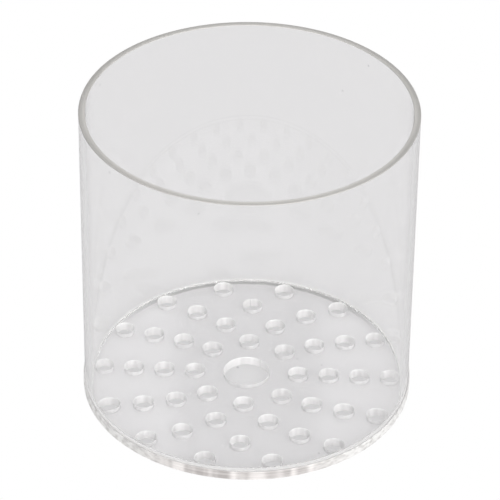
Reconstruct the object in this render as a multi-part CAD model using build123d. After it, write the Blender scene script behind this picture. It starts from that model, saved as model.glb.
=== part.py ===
from build123d import *
import math
import os

# Queen cage for handling a queen bee: a clear acrylic tube, open at the top, standing on a
# perforated acrylic disc and cemented to it all round. Millimetres. The origin is the centre
# of the disc's underside and +Z points up the tube. The first hole of every ring lies on +X.

# Whole cage
OVERALL_HEIGHT = 49.0

# Tube: stock extruded tube, sawn square
TUBE_DIAMETER = 50.0
TUBE_WALL = 1.0
RIM_BREAK = 0.12  # the sawn rim's two edges, taken off with a scraper

# Floor disc: cut from sheet a little larger than the tube, so it shows as a thin lip
SHEET_THICKNESS = 1.5
DISC_DIAMETER = 50.4
DISC_EDGE_BREAK = 0.1

# Perforations: a hole in the middle, and rings of small holes that gain two holes a ring
CENTRE_HOLE_DIAMETER = 7.0
SMALL_HOLE_DIAMETER = 3.0
RING_COUNT = 4
FIRST_RING_RADIUS = 8.0
RING_PITCH = 4.75
FIRST_RING_HOLES = 8
HOLES_ADDED_PER_RING = 2

# Cement: a film under the tube's end, and the bead squeezed out of it into the inner corner
FILM_THICKNESS = 0.1
BEAD_REACH = 0.2  # how far the bead spreads over the disc, short of the outermost holes
BEAD_CLIMB = 0.1  # how far it climbs the wall above the film

TUBE_RADIUS = TUBE_DIAMETER / 2
BORE_RADIUS = TUBE_RADIUS - TUBE_WALL
TUBE_BOTTOM = SHEET_THICKNESS + FILM_THICKNESS


def tube():
    """The wall, from the cement film up to the open rim."""
    height = OVERALL_HEIGHT - TUBE_BOTTOM
    upwards = (Align.CENTER, Align.CENTER, Align.MIN)
    wall = Cylinder(TUBE_RADIUS, height, align=upwards)
    wall -= Cylinder(BORE_RADIUS, height, align=upwards)
    wall = Pos(0, 0, TUBE_BOTTOM) * wall
    rim_edges = wall.edges().group_by(Axis.Z)[-1].filter_by(GeomType.CIRCLE)
    return chamfer(rim_edges, RIM_BREAK)


def hole_centres():
    """The small holes' centres, ring by ring, each ring starting on +X."""
    centres = []
    for ring in range(RING_COUNT):
        radius = FIRST_RING_RADIUS + ring * RING_PITCH
        count = FIRST_RING_HOLES + ring * HOLES_ADDED_PER_RING
        for step in range(count):
            angle = 2 * math.pi * step / count
            centres.append((radius * math.cos(angle), radius * math.sin(angle)))
    return centres


def floor_disc():
    """The perforated floor, its rim's sharp edges just broken."""
    blank = extrude(Circle(DISC_DIAMETER / 2), SHEET_THICKNESS)
    blank = chamfer(blank.edges().filter_by(GeomType.CIRCLE), DISC_EDGE_BREAK)
    small_holes = Locations(*hole_centres()) * Circle(SMALL_HOLE_DIAMETER / 2)
    outline = Sketch() + small_holes + Circle(CENTRE_HOLE_DIAMETER / 2)
    return blank - extrude(outline, SHEET_THICKNESS)


def cement_ring():
    """The set cement: film and bead are one ring, turned from one section."""
    section = Polyline(
        (BORE_RADIUS - BEAD_REACH, SHEET_THICKNESS),
        (TUBE_RADIUS, SHEET_THICKNESS),
        (TUBE_RADIUS, TUBE_BOTTOM),
        (BORE_RADIUS, TUBE_BOTTOM),
        (BORE_RADIUS, TUBE_BOTTOM + BEAD_CLIMB),
        close=True,
    )
    return revolve(Plane.XZ * make_face(section), Axis.Z)


os.makedirs("parts", exist_ok=True)
export_step(tube(), "parts/tube.step")
export_step(floor_disc(), "parts/floor_disc.step")
export_step(cement_ring(), "parts/cement_ring.step")
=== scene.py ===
import math

import bmesh
import bpy
from mathutils import Matrix, Vector


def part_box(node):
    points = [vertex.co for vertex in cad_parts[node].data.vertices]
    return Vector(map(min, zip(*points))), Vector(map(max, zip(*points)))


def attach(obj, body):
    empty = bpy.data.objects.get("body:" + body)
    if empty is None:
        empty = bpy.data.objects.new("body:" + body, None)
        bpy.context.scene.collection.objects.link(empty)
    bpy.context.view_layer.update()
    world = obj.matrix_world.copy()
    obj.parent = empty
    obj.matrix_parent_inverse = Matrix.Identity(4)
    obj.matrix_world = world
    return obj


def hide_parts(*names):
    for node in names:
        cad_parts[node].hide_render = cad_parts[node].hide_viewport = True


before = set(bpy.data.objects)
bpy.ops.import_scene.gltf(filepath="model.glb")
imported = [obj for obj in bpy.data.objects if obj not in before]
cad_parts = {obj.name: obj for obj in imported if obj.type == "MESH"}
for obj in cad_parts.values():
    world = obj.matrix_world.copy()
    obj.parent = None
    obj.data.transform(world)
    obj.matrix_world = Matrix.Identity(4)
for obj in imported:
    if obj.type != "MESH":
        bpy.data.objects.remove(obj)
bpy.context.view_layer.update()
bpy.ops.object.select_all(action="DESELECT")

# ---------------------------------------------------------------- tube
# The wall of the cage is a length of clear extruded acrylic tube, sawn square at both ends.
# The die leaves faint lines along it. The sawn rim stays satin with the marks of the blade,
# and its two edges are scraped so that they don't catch. It is cemented to the disc.
MM = 0.001
TUBE_SIDES = 384
WALL = 1.0 * MM
RIM_BREAK = 0.12 * MM
SMOOTH_ANGLE = math.radians(15)
FLAT = 0.9  # a face is flat when its normal is at least this much up or down
ACRYLIC_IOR = 1.49
CLEAR_SHARE = 0.99  # of the light on what lies behind, let through by polished plastic
SATIN_SHARE = 0.6  # and by a satin face
SCRATCH_LENGTH = 14 * MM
SCRATCH_SPACING = 1.6 * MM
WORN_PATCH = 7 * MM
tube_low, tube_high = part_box("tube")
tube_radius = (tube_high.x - tube_low.x + tube_high.y - tube_low.y) / 4


class Wire:
    """An output of a shader node. Arithmetic on it adds Math nodes to the same finish."""

    def __init__(self, tree, socket=None):
        self.tree = tree
        self.socket = socket

    def add(self, kind, settings=None, inputs=None, output=0):
        """Adds a node: its settings first, then the values or links of its sockets."""
        node = self.tree.nodes.new(kind)
        for name, value in (settings or {}).items():
            setattr(node, name, value)
        for name, value in (inputs or {}).items():
            self.plug(value, node.inputs[name])
        return Wire(self.tree, node.outputs[output])

    def plug(self, value, socket):
        """Links an output to a socket, or sets the socket to a plain value."""
        if isinstance(value, Wire):
            self.tree.links.new(value.socket, socket)
        else:
            socket.default_value = value

    def maths(self, operation, *values):
        """Any operation of the Math node."""
        return self.add("ShaderNodeMath", {"operation": operation}, dict(enumerate(values)))

    def between(self, low, high):
        """0 below low, 1 above high, and a smooth step from one to the other."""
        return self.add(
            "ShaderNodeMapRange",
            {"interpolation_type": "SMOOTHSTEP"},
            {"Value": self, "From Min": low, "From Max": high},
        )

    def __add__(self, other):
        return self.maths("ADD", self, other)

    def __radd__(self, other):
        return self.maths("ADD", other, self)

    def __sub__(self, other):
        return self.maths("SUBTRACT", self, other)

    def __rsub__(self, other):
        return self.maths("SUBTRACT", other, self)

    def __mul__(self, other):
        return self.maths("MULTIPLY", self, other)

    def __rmul__(self, other):
        return self.maths("MULTIPLY", other, self)

    def __abs__(self):
        return self.maths("ABSOLUTE", self)


class Finish(Wire):
    """A new material, with its Principled shader and the patterns that the finishes share."""

    def __init__(self, name, **constants):
        self.material = bpy.data.materials.new(name)
        self.material.use_nodes = True
        super().__init__(self.material.node_tree)
        self.shader = self.tree.nodes["Principled BSDF"]
        self.surface = self.tree.nodes["Material Output"].inputs["Surface"]
        for socket, value in constants.items():
            self.shader.inputs[socket.replace("_", " ")].default_value = value
        self.place = self.add("ShaderNodeTexCoord", output="Object")

    def along(self, axis):
        """The distance along one axis of the object."""
        return self.add("ShaderNodeSeparateXYZ", inputs={"Vector": self.place}, output=axis)

    def outwards(self):
        """The distance from the object's upright axis."""
        flat = self.add("ShaderNodeMapping", inputs={"Vector": self.place, "Scale": (1, 1, 0)})
        return self.add("ShaderNodeVectorMath", {"operation": "LENGTH"}, {0: flat}, "Value")

    def scaled(self, x, y, z):
        """The place on the object in units of x, y and z metres."""
        return self.add(
            "ShaderNodeMapping", inputs={"Vector": self.place, "Scale": (1 / x, 1 / y, 1 / z)}
        )

    def cloud(self, x, y, z, detail=2.0, roughness=0.5):
        """Noise from 0 to 1 whose lumps are x, y and z metres across."""
        return self.add(
            "ShaderNodeTexNoise",
            inputs={
                "Vector": self.scaled(x, y, z),
                "Scale": 1.0,
                "Detail": detail,
                "Roughness": roughness,
            },
        )

    def specks(self, spacing, size, share):
        """Round specks, on the given share of the cells of a grid of that spacing."""
        cells = {"Vector": self.scaled(spacing, spacing, spacing), "Scale": 1.0}
        near = self.add("ShaderNodeTexVoronoi", {"feature": "F1"}, cells, "Distance")
        shade = self.add("ShaderNodeTexVoronoi", {"feature": "F1"}, cells, "Color")
        pick = self.add("ShaderNodeSeparateColor", inputs={"Color": shade}, output="Red")
        round_spot = 1 - near.between(0.6 * size / spacing, size / spacing)
        return round_spot * pick.between(1 - share, 1.001 - share)

    def scratches(self, width):
        """Fine scratches that cross each other, in two directions over the surface."""
        lines = 0
        for turn in (0.5, 1.9):
            turned = self.add(
                "ShaderNodeMapping",
                inputs={
                    "Vector": self.place,
                    "Rotation": (turn, 0.7 * turn, 1.3 * turn),
                    "Scale": (1 / SCRATCH_LENGTH, 1 / SCRATCH_SPACING, 1 / SCRATCH_LENGTH),
                },
            )
            cells = self.add(
                "ShaderNodeTexVoronoi",
                {"feature": "DISTANCE_TO_EDGE"},
                {"Vector": turned, "Scale": 1.0, "Randomness": 1.0},
            )
            lines = lines + (1 - cells.between(0, width / SCRATCH_SPACING))
        worn = self.cloud(WORN_PATCH, WORN_PATCH, WORN_PATCH)
        return lines * worn.between(0.52, 0.66)

    def tint(self, factor, low, high):
        """The colour low where the factor is 0, high where it is 1. Sockets 6 and 7 take them."""
        return self.add(
            "ShaderNodeMix",
            {"data_type": "RGBA"},
            {"Factor": factor, 6: low, 7: high},
            output=2,
        )

    def feed(self, socket, value):
        """Gives one of the shader's own sockets its value."""
        self.plug(value, self.shader.inputs[socket])

    def bumps(self, height, depth):
        """Relief that is depth metres deep where height is 1."""
        relief = self.add("ShaderNodeBump", inputs={"Height": height, "Distance": depth})
        self.feed("Normal", relief)

    def let_light_in(self, share):
        """A share of the light on whatever lies behind passes straight through the plastic."""
        shadow = self.add("ShaderNodeLightPath", output="Is Shadow Ray")
        diffuse = self.add("ShaderNodeLightPath", output="Is Diffuse Ray")
        passes = self.maths("MAXIMUM", shadow, diffuse)
        straight = self.add("ShaderNodeBsdfTransparent", inputs={"Color": (share, share, share, 1)})
        both = self.add(
            "ShaderNodeMixShader",
            inputs={0: passes, 1: Wire(self.tree, self.shader.outputs["BSDF"]), 2: straight},
        )
        self.plug(both, self.surface)


bpy.ops.mesh.primitive_cylinder_add(
    vertices=TUBE_SIDES,
    radius=tube_radius,
    depth=tube_high.z - tube_low.z,
    end_fill_type="NOTHING",
    location=(0, 0, (tube_low.z + tube_high.z) / 2),
)
tube = bpy.context.object
tube.name = tube.data.name = "clear_tube"
bpy.ops.object.transform_apply(location=True, rotation=True, scale=True)
wall = tube.modifiers.new("wall", "SOLIDIFY")
wall.thickness = WALL
wall.offset = -1
wall.use_even_offset = True
bpy.ops.object.modifier_apply(modifier=wall.name)
bpy.ops.object.mode_set(mode="EDIT")
bpy.ops.mesh.select_all(action="DESELECT")
bpy.ops.mesh.select_mode(type="EDGE")
mesh = bmesh.from_edit_mesh(tube.data)
# Only the edges that run round the rim are picked, not the short ones across it.
for edge in mesh.edges:
    level = all(abs(v.co.z - tube_high.z) < 1e-6 for v in edge.verts)
    along = (edge.verts[1].co - edge.verts[0].co).xy.normalized()
    outward = (edge.verts[0].co + edge.verts[1].co).xy.normalized()
    edge.select_set(level and abs(along.dot(outward)) < 0.5)
bmesh.update_edit_mesh(tube.data)
bpy.ops.mesh.bevel(offset=RIM_BREAK, segments=2, profile=0.5)
bpy.ops.object.mode_set(mode="OBJECT")
bpy.ops.object.shade_smooth_by_angle(angle=SMOOTH_ANGLE)

# The wall inside and out: as smooth as the die, with a little haze, dust and fine scratches.
WHITE = (1, 1, 1, 1)
DUST = (0.6, 0.6, 0.61, 1)
drawn = Finish("clear_acrylic", Roughness=0.0, IOR=ACRYLIC_IOR, Transmission_Weight=1.0)
die_lines = drawn.cloud(4.0 * MM, 4.0 * MM, 400 * MM, detail=3.0)
handled = drawn.cloud(9.0 * MM, 9.0 * MM, 14.0 * MM, detail=4.0, roughness=0.6)
haze = (0.2 * die_lines.between(0.3, 0.8) + 0.6 * handled.between(0.3, 0.8)) * 0.008
dust = drawn.specks(4.5 * MM, 0.24 * MM, 0.2)
drawn.feed("Base Color", drawn.tint(haze + dust * 0.7, WHITE, DUST))
drawn.feed("Roughness", haze * 0.6 + drawn.scratches(0.03 * MM) * 0.06)
drawn.bumps(die_lines, 0.0005 * MM)
drawn.let_light_in(CLEAR_SHARE)
tube.data.materials.append(drawn.material)

# The rim: satin, with painted light: lighter on its inner half, at the front and a little at the
# rear, where the light comes out; the blade marks are its own.
BLACK = (0, 0, 0, 1)
SAWN_WHITE = (1.0, 0.975, 0.935, 1)
SAWN_SLOT = 1
sawn = Finish("sawn_acrylic", IOR=ACRYLIC_IOR, Transmission_Weight=0.25)
depth = sawn.along("Y")
front = 1 - depth.between(-tube_radius, -0.1 * tube_radius)
rear = depth.between(0.1 * tube_radius, tube_radius)
outer = sawn.outwards().between(tube_radius - 0.8 * WALL, tube_radius - 0.3 * WALL)
blade = sawn.cloud(0.25 * MM, 6.0 * MM, 6.0 * MM, detail=3.0, roughness=0.7)
# Painted light and shade: the outer half darker, the front and rear lighter, with the blade marks
# on top.
painted_rim_light = 0.55 - 0.13 * outer + 0.15 * front + 0.05 * rear + 0.10 * (blade - 0.5)
sawn.feed("Base Color", sawn.tint(painted_rim_light, BLACK, SAWN_WHITE))
sawn.feed("Roughness", 0.42 + 0.16 * blade)
sawn.bumps(blade, 0.01 * MM)
tube.data.materials.append(sawn.material)

# The other end: its saw marks are bitten away by the solvent.
ETCHED_GREY = (0.72, 0.71, 0.71, 1)
ETCHED_WHITE = (0.84, 0.83, 0.83, 1)
ETCHED_SLOT = 2
etched = Finish("etched_acrylic", IOR=ACRYLIC_IOR, Transmission_Weight=0.1)
bitten = etched.cloud(0.6 * MM, 0.6 * MM, 0.6 * MM)
etched.feed("Base Color", etched.tint(bitten, ETCHED_GREY, ETCHED_WHITE))
etched.feed("Roughness", 0.4 + 0.2 * bitten)
etched.bumps(bitten, 0.01 * MM)
etched.let_light_in(SATIN_SHARE)
tube.data.materials.append(etched.material)
for face in tube.data.polygons:
    if face.center.z > tube_high.z - RIM_BREAK * 1.01:
        face.material_index = SAWN_SLOT
    elif face.normal.z < -FLAT:
        face.material_index = ETCHED_SLOT
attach(tube, "root")
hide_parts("tube")

# ---------------------------------------------------------------- perforated disc
# The floor is a disc cut from clear cast acrylic sheet, a little wider than the tube. A hole
# in the middle and four rings of small holes are drilled through it, so that a bee can be
# reached and can breathe. The cut faces are satin, with marks of the tool across them.
disc_low, disc_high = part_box("floor_disc")
disc_radius = (disc_high.x - disc_low.x + disc_high.y - disc_low.y) / 4
bore = tube_radius - WALL
SHEET = disc_high.z - disc_low.z
GAP = 0.01 * MM  # keeps faces that touch from lying in the same place
DRILL_LENGTH = 3 * SHEET
CENTRE_HOLE = 3.5 * MM
CENTRE_HOLE_SIDES = 128
SMALL_HOLE = 1.5 * MM
SMALL_HOLE_SIDES = 64
RING_HOLES = (8, 10, 12, 14)
FIRST_RING = 8.0 * MM
RING_PITCH = 4.75 * MM
EDGE_BREAK = 0.07 * MM
SHARP = math.radians(60)
bpy.ops.object.select_all(action="DESELECT")
bpy.ops.mesh.primitive_cylinder_add(
    vertices=TUBE_SIDES, radius=disc_radius, depth=SHEET - GAP, location=(0, 0, (SHEET - GAP) / 2)
)
disc = bpy.context.object
disc.name = disc.data.name = "perforated_disc"
bpy.ops.object.transform_apply(location=True, rotation=True, scale=True)

bpy.ops.mesh.primitive_cylinder_add(
    vertices=CENTRE_HOLE_SIDES, radius=CENTRE_HOLE, depth=DRILL_LENGTH
)
drills = [bpy.context.object]
for ring, count in enumerate(RING_HOLES):
    radius = FIRST_RING + ring * RING_PITCH
    for step in range(count):
        angle = 2 * math.pi * step / count
        bpy.ops.mesh.primitive_cylinder_add(
            vertices=SMALL_HOLE_SIDES,
            radius=SMALL_HOLE,
            depth=DRILL_LENGTH,
            location=(radius * math.cos(angle), radius * math.sin(angle), 0),
        )
        drills.append(bpy.context.object)
for drill in drills:
    drill.select_set(True)
bpy.context.view_layer.objects.active = drills[0]
bpy.ops.object.join()
drills = bpy.context.object
bpy.ops.object.select_all(action="DESELECT")
disc.select_set(True)
bpy.context.view_layer.objects.active = disc
holes = disc.modifiers.new("holes", "BOOLEAN")
holes.object = drills
holes.operation = "DIFFERENCE"
holes.solver = "EXACT"
bpy.ops.object.modifier_apply(modifier=holes.name)
bpy.data.objects.remove(drills)
edges = disc.modifiers.new("edges", "BEVEL")
edges.width = EDGE_BREAK
edges.segments = 1
edges.limit_method = "ANGLE"
edges.angle_limit = SHARP
bpy.ops.object.modifier_apply(modifier=edges.name)
bpy.ops.object.shade_smooth_by_angle(angle=SMOOTH_ANGLE)

# Both faces: glossy, with haze, dust and scratches, and painted shade in a band at the rear of the
# upper face, just inside the joint, where the shadow under the back of the joint falls.
SHEET_CLEAR = (1, 0.995, 1, 1)
SHEET_DUST = (0.6, 0.59, 0.6, 1)
JOINT_SHADE = (0.4, 0.4, 0.39, 1)
sheet = Finish("clear_sheet", Roughness=0.0, IOR=ACRYLIC_IOR, Transmission_Weight=1.0)
handled = sheet.cloud(7.0 * MM, 7.0 * MM, 7.0 * MM, detail=4.0, roughness=0.6)
haze = handled.between(0.5, 0.8) * 0.04
dust = sheet.specks(4.0 * MM, 0.25 * MM, 0.2)
clean = sheet.tint(haze + dust * 0.7, SHEET_CLEAR, SHEET_DUST)
reach = sheet.outwards()
# Painted shade: a dark band just inside the rear of the joint, on the upper face only.
joint_shade_band = reach.between(bore - 1.2 * MM, bore - 0.7 * MM) - reach.between(bore - 0.1 * MM, bore)
rear = sheet.along("Y").between(0.4 * bore, 0.8 * bore)
upper_face = sheet.along("Z").between(0.7 * SHEET, 0.8 * SHEET)
sheet.feed("Base Color", sheet.tint(joint_shade_band * rear * upper_face, clean, JOINT_SHADE))
sheet.feed("Roughness", haze * 0.6 + sheet.scratches(0.04 * MM) * 0.15)
sheet.bumps(handled, 0.001 * MM)
sheet.let_light_in(CLEAR_SHARE)
disc.data.materials.append(sheet.material)

# The walls of the holes: satin, with upright marks, painted shade at the bottom edge where the wall
# meets the table, and painted shade where they are seen from within the plastic.
DRILLED_GREY = (0.8, 0.79, 0.79, 1)
DRILLED_WHITE = (0.92, 0.91, 0.91, 1)
DRILLED_SHADE = (0.1, 0.1, 0.1, 1)
DRILLED_SLOT = 1
drilled = Finish("drilled_acrylic", IOR=ACRYLIC_IOR, Transmission_Weight=0.15)
marks = drilled.cloud(0.8 * MM, 0.8 * MM, 20 * MM, detail=1.0)
foot_shade = 1 - drilled.along("Z").between(0, 0.1 * MM)
inside_shade = drilled.add("ShaderNodeNewGeometry", output="Backfacing")
clean = drilled.tint(marks.between(0.3, 0.7), DRILLED_GREY, DRILLED_WHITE)
# Painted shade: darker at the foot of the wall, and darker where the wall is seen from inside the
# plastic.
drilled.feed("Base Color", drilled.tint(0.25 * foot_shade + 0.2 * inside_shade, clean, DRILLED_SHADE))
drilled.feed("Roughness", 0.25 + 0.1 * marks)
drilled.bumps(marks, 0.005 * MM)
drilled.let_light_in(SATIN_SHARE)
disc.data.materials.append(drilled.material)

# The disc's edge: satin and warm, with turned lines round it, chipped at the sides, and paler there
# as painted light.
SATIN_DARK = (0.4, 0.375, 0.365, 1)
SATIN_WARM = (0.9, 0.865, 0.845, 1)
CHIP_GREY = (0.56, 0.55, 0.535, 1)
PALE_GREY = (0.8, 0.795, 0.78, 1)
CUT_SLOT = 2
cut = Finish("cut_acrylic", IOR=ACRYLIC_IOR, Transmission_Weight=0.15)
patches = cut.cloud(1.6 * MM, 1.6 * MM, 30 * MM, detail=1.0)
chips = cut.cloud(1.1 * MM, 1.1 * MM, 0.7 * MM, detail=1.0)
turned = cut.cloud(9 * MM, 9 * MM, 0.22 * MM, detail=2.0, roughness=0.6)
marks = 0.65 * patches.between(0.3, 0.7) + 0.35 * turned.between(0.3, 0.7)
painted_side_light = abs(cut.along("X")).between(0.3 * disc_radius, 0.7 * disc_radius)
satin = cut.tint(marks, SATIN_DARK, SATIN_WARM)
pale = cut.tint(chips.between(0.3, 0.6), CHIP_GREY, PALE_GREY)
# Painted light: the sides of the edge are paler than the front and back.
cut.feed("Base Color", cut.tint(painted_side_light, satin, pale))
cut.feed("Roughness", 0.28 + 0.14 * marks)
cut.bumps(turned, 0.01 * MM)
disc.data.materials.append(cut.material)
for face in disc.data.polygons:
    if abs(face.normal.z) < FLAT:
        at_edge = face.center.xy.length > disc_radius - WALL
        face.material_index = CUT_SLOT if at_edge else DRILLED_SLOT
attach(disc, "root")
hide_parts("floor_disc")

# ---------------------------------------------------------------- cement
# Solvent cement joins the tube to the disc: a film under the sawn end of the tube, and the
# small bead squeezed out of it into the inner corner. It has set clear, with a slight haze.
cement_low, cement_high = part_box("cement_ring")
BEAD_REACH = 0.2 * MM
bpy.ops.object.select_all(action="DESELECT")
bpy.ops.mesh.primitive_circle_add(
    vertices=TUBE_SIDES, radius=tube_radius - GAP, location=(0, 0, cement_low.z)
)
cement = bpy.context.object
cement.name = cement.data.name = "set_cement"
bpy.ops.object.transform_apply(location=True, rotation=True, scale=True)
bpy.ops.object.mode_set(mode="EDIT")
bpy.ops.mesh.select_all(action="SELECT")


def ring_to(radius, height):
    """Extrudes the selected ring and moves the new one to a radius and a height."""
    bpy.ops.mesh.extrude_edges_move()
    mesh = bmesh.from_edit_mesh(cement.data)
    for v in mesh.verts:
        if v.select:
            v.co.xy = v.co.xy.normalized() * radius
            v.co.z = height
    bmesh.update_edit_mesh(cement.data)


film_top = tube_low.z - GAP
ring_to(tube_radius - GAP, film_top)
ring_to(bore - GAP, film_top)
ring_to(bore - GAP, cement_high.z)
ring_to(bore - BEAD_REACH, cement_low.z)
ring_to(tube_radius - GAP, cement_low.z)
bpy.ops.mesh.select_all(action="SELECT")
bpy.ops.mesh.remove_doubles(threshold=1e-7)
bpy.ops.mesh.normals_make_consistent(inside=False)
bpy.ops.object.mode_set(mode="OBJECT")
bpy.ops.object.shade_smooth_by_angle(angle=SMOOTH_ANGLE)

# Most of it is clear, with a haze of fine bubbles.
BUBBLE = (0.84, 0.84, 0.83, 1)
CEMENT_CLEAR = (0.98, 0.98, 0.97, 1)
hazy = Finish("set_cement", IOR=ACRYLIC_IOR, Transmission_Weight=0.8)
bubbles = hazy.cloud(0.5 * MM, 0.5 * MM, 0.5 * MM)
hazy.feed("Base Color", hazy.tint(bubbles, BUBBLE, CEMENT_CLEAR))
hazy.feed("Roughness", 0.15 + 0.2 * bubbles)
hazy.bumps(bubbles, 0.01 * MM)
hazy.let_light_in(CLEAR_SHARE)
cement.data.materials.append(hazy.material)

# Where the film meets the air at the outside, it has gone milky.
BLUSH_GREY = (0.72, 0.7, 0.68, 1)
BLUSH_WHITE = (0.86, 0.84, 0.82, 1)
BLUSHED_SLOT = 1
blushed = Finish("blushed_cement", IOR=ACRYLIC_IOR, Transmission_Weight=0.1)
milky = blushed.cloud(0.8 * MM, 0.8 * MM, 0.8 * MM)
blushed.feed("Base Color", blushed.tint(milky, BLUSH_GREY, BLUSH_WHITE))
blushed.feed("Roughness", 0.5 + 0.2 * milky)
blushed.bumps(milky, 0.005 * MM)
cement.data.materials.append(blushed.material)
for face in cement.data.polygons:
    if face.center.xy.length > tube_radius - 0.2 * WALL:
        face.material_index = BLUSHED_SLOT
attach(cement, "root")
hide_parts("cement_ring")

# ---------------------------------------------------------------- studio
# The cage stands on a pale table that gives off part of its light. A soft window lights it from
# the front, and the ceiling is dim. The wall beyond the table is darker straight ahead than
# beside, which shows in the polished floor. The camera itself sees table and room plain white.
TABLE = 3.0
TABLE_GAP = 0.02 * MM
TABLE_GLOW = 0.29
TABLE_WHITE = 0.45
ROOM_LIGHT = 0.68
WINDOW_LIGHT = 1.9
CEILING_LIGHT = 0.5
FAR_WALL_LOSS = 0.26
BESIDE_GAIN = 0.6
LOOK_AZIMUTH = math.radians(2.66)
WINDOW_AZIMUTH = math.radians(28)
WINDOW_HEIGHT = math.radians(28)
window = Vector((
    math.sin(WINDOW_AZIMUTH) * math.cos(WINDOW_HEIGHT),
    -math.cos(WINDOW_AZIMUTH) * math.cos(WINDOW_HEIGHT),
    math.sin(WINDOW_HEIGHT),
))
bpy.ops.object.select_all(action="DESELECT")
bpy.ops.mesh.primitive_plane_add(size=TABLE, location=(0, 0, -TABLE_GAP))
table = bpy.context.object
table.name = "table"
paper = Finish("paper", Roughness=1.0, Specular_IOR_Level=0.0, Emission_Strength=TABLE_GLOW)
paper.feed("Base Color", (TABLE_WHITE, 0.99 * TABLE_WHITE, TABLE_WHITE, 1))
paper.feed("Emission Color", (1, 0.99, 0.995, 1))
seen = paper.add("ShaderNodeLightPath", output="Is Camera Ray")
white = paper.add("ShaderNodeEmission", inputs={"Color": WHITE, "Strength": 1.0})
paper.plug(
    paper.add(
        "ShaderNodeMixShader",
        inputs={0: seen, 1: Wire(paper.tree, paper.shader.outputs["BSDF"]), 2: white},
    ),
    paper.surface,
)
table.data.materials.append(paper.material)

world = bpy.data.worlds.new("studio")
bpy.context.scene.world = world
world.use_nodes = True
air = Wire(world.node_tree)
way = air.add("ShaderNodeTexCoord", output="Generated")
east = air.add("ShaderNodeSeparateXYZ", inputs={"Vector": way}, output="X")
north = air.add("ShaderNodeSeparateXYZ", inputs={"Vector": way}, output="Y")
height = air.add("ShaderNodeSeparateXYZ", inputs={"Vector": way}, output="Z")
overhead = height.between(0.68, 0.85)
aside = abs(east * math.cos(LOOK_AZIMUTH) + north * math.sin(LOOK_AZIMUTH))
beside = aside.between(0.028, 0.05)
far = north.between(0.3, 0.6)
facing = east * window.x + north * window.y + height * window.z
lit = ROOM_LIGHT + WINDOW_LIGHT * facing.between(0.15, 0.95)
room = lit - far * (FAR_WALL_LOSS - BESIDE_GAIN * beside)
glow = room + overhead * (CEILING_LIGHT - room)
lamp = air.add("ShaderNodeBackground", inputs={"Color": WHITE, "Strength": glow})
plain = air.add("ShaderNodeBackground", inputs={"Color": WHITE})
seen = air.add("ShaderNodeLightPath", output="Is Camera Ray")
both = air.add("ShaderNodeMixShader", inputs={0: seen, 1: lamp, 2: plain})
air.plug(both, world.node_tree.nodes["World Output"].inputs["Surface"])

# The camera looks down on the cage from the front, through a long lens.
AZIMUTH = math.radians(2.7)
DISTANCE = 373.6 * MM
HEIGHT = 284.9 * MM
PITCH = math.radians(34.93)
YAW = math.radians(0.045)
ROLL = math.radians(0.699)
LENS = 218.0
SENSOR = 36.0
back = Vector((math.sin(AZIMUTH), -math.cos(AZIMUTH), 0))
heading = AZIMUTH - YAW
look = Vector((
    -math.sin(heading) * math.cos(PITCH),
    math.cos(heading) * math.cos(PITCH),
    -math.sin(PITCH),
))
right = look.cross(Vector((0, 0, 1))).normalized()
up = right.cross(look)
tilted_right = right * math.cos(ROLL) + up * math.sin(ROLL)
tilted_up = up * math.cos(ROLL) - right * math.sin(ROLL)
lens = bpy.data.cameras.new("camera")
lens.lens = LENS
lens.sensor_width = SENSOR
lens.clip_start = 0.01
camera = bpy.data.objects.new("camera", lens)
bpy.context.scene.collection.objects.link(camera)
turn = Matrix((tilted_right, tilted_up, -look)).transposed().to_4x4()
camera.matrix_world = Matrix.Translation(back * DISTANCE + Vector((0, 0, HEIGHT))) @ turn
bpy.context.scene.camera = camera
bpy.context.scene.view_settings.view_transform = "Standard"
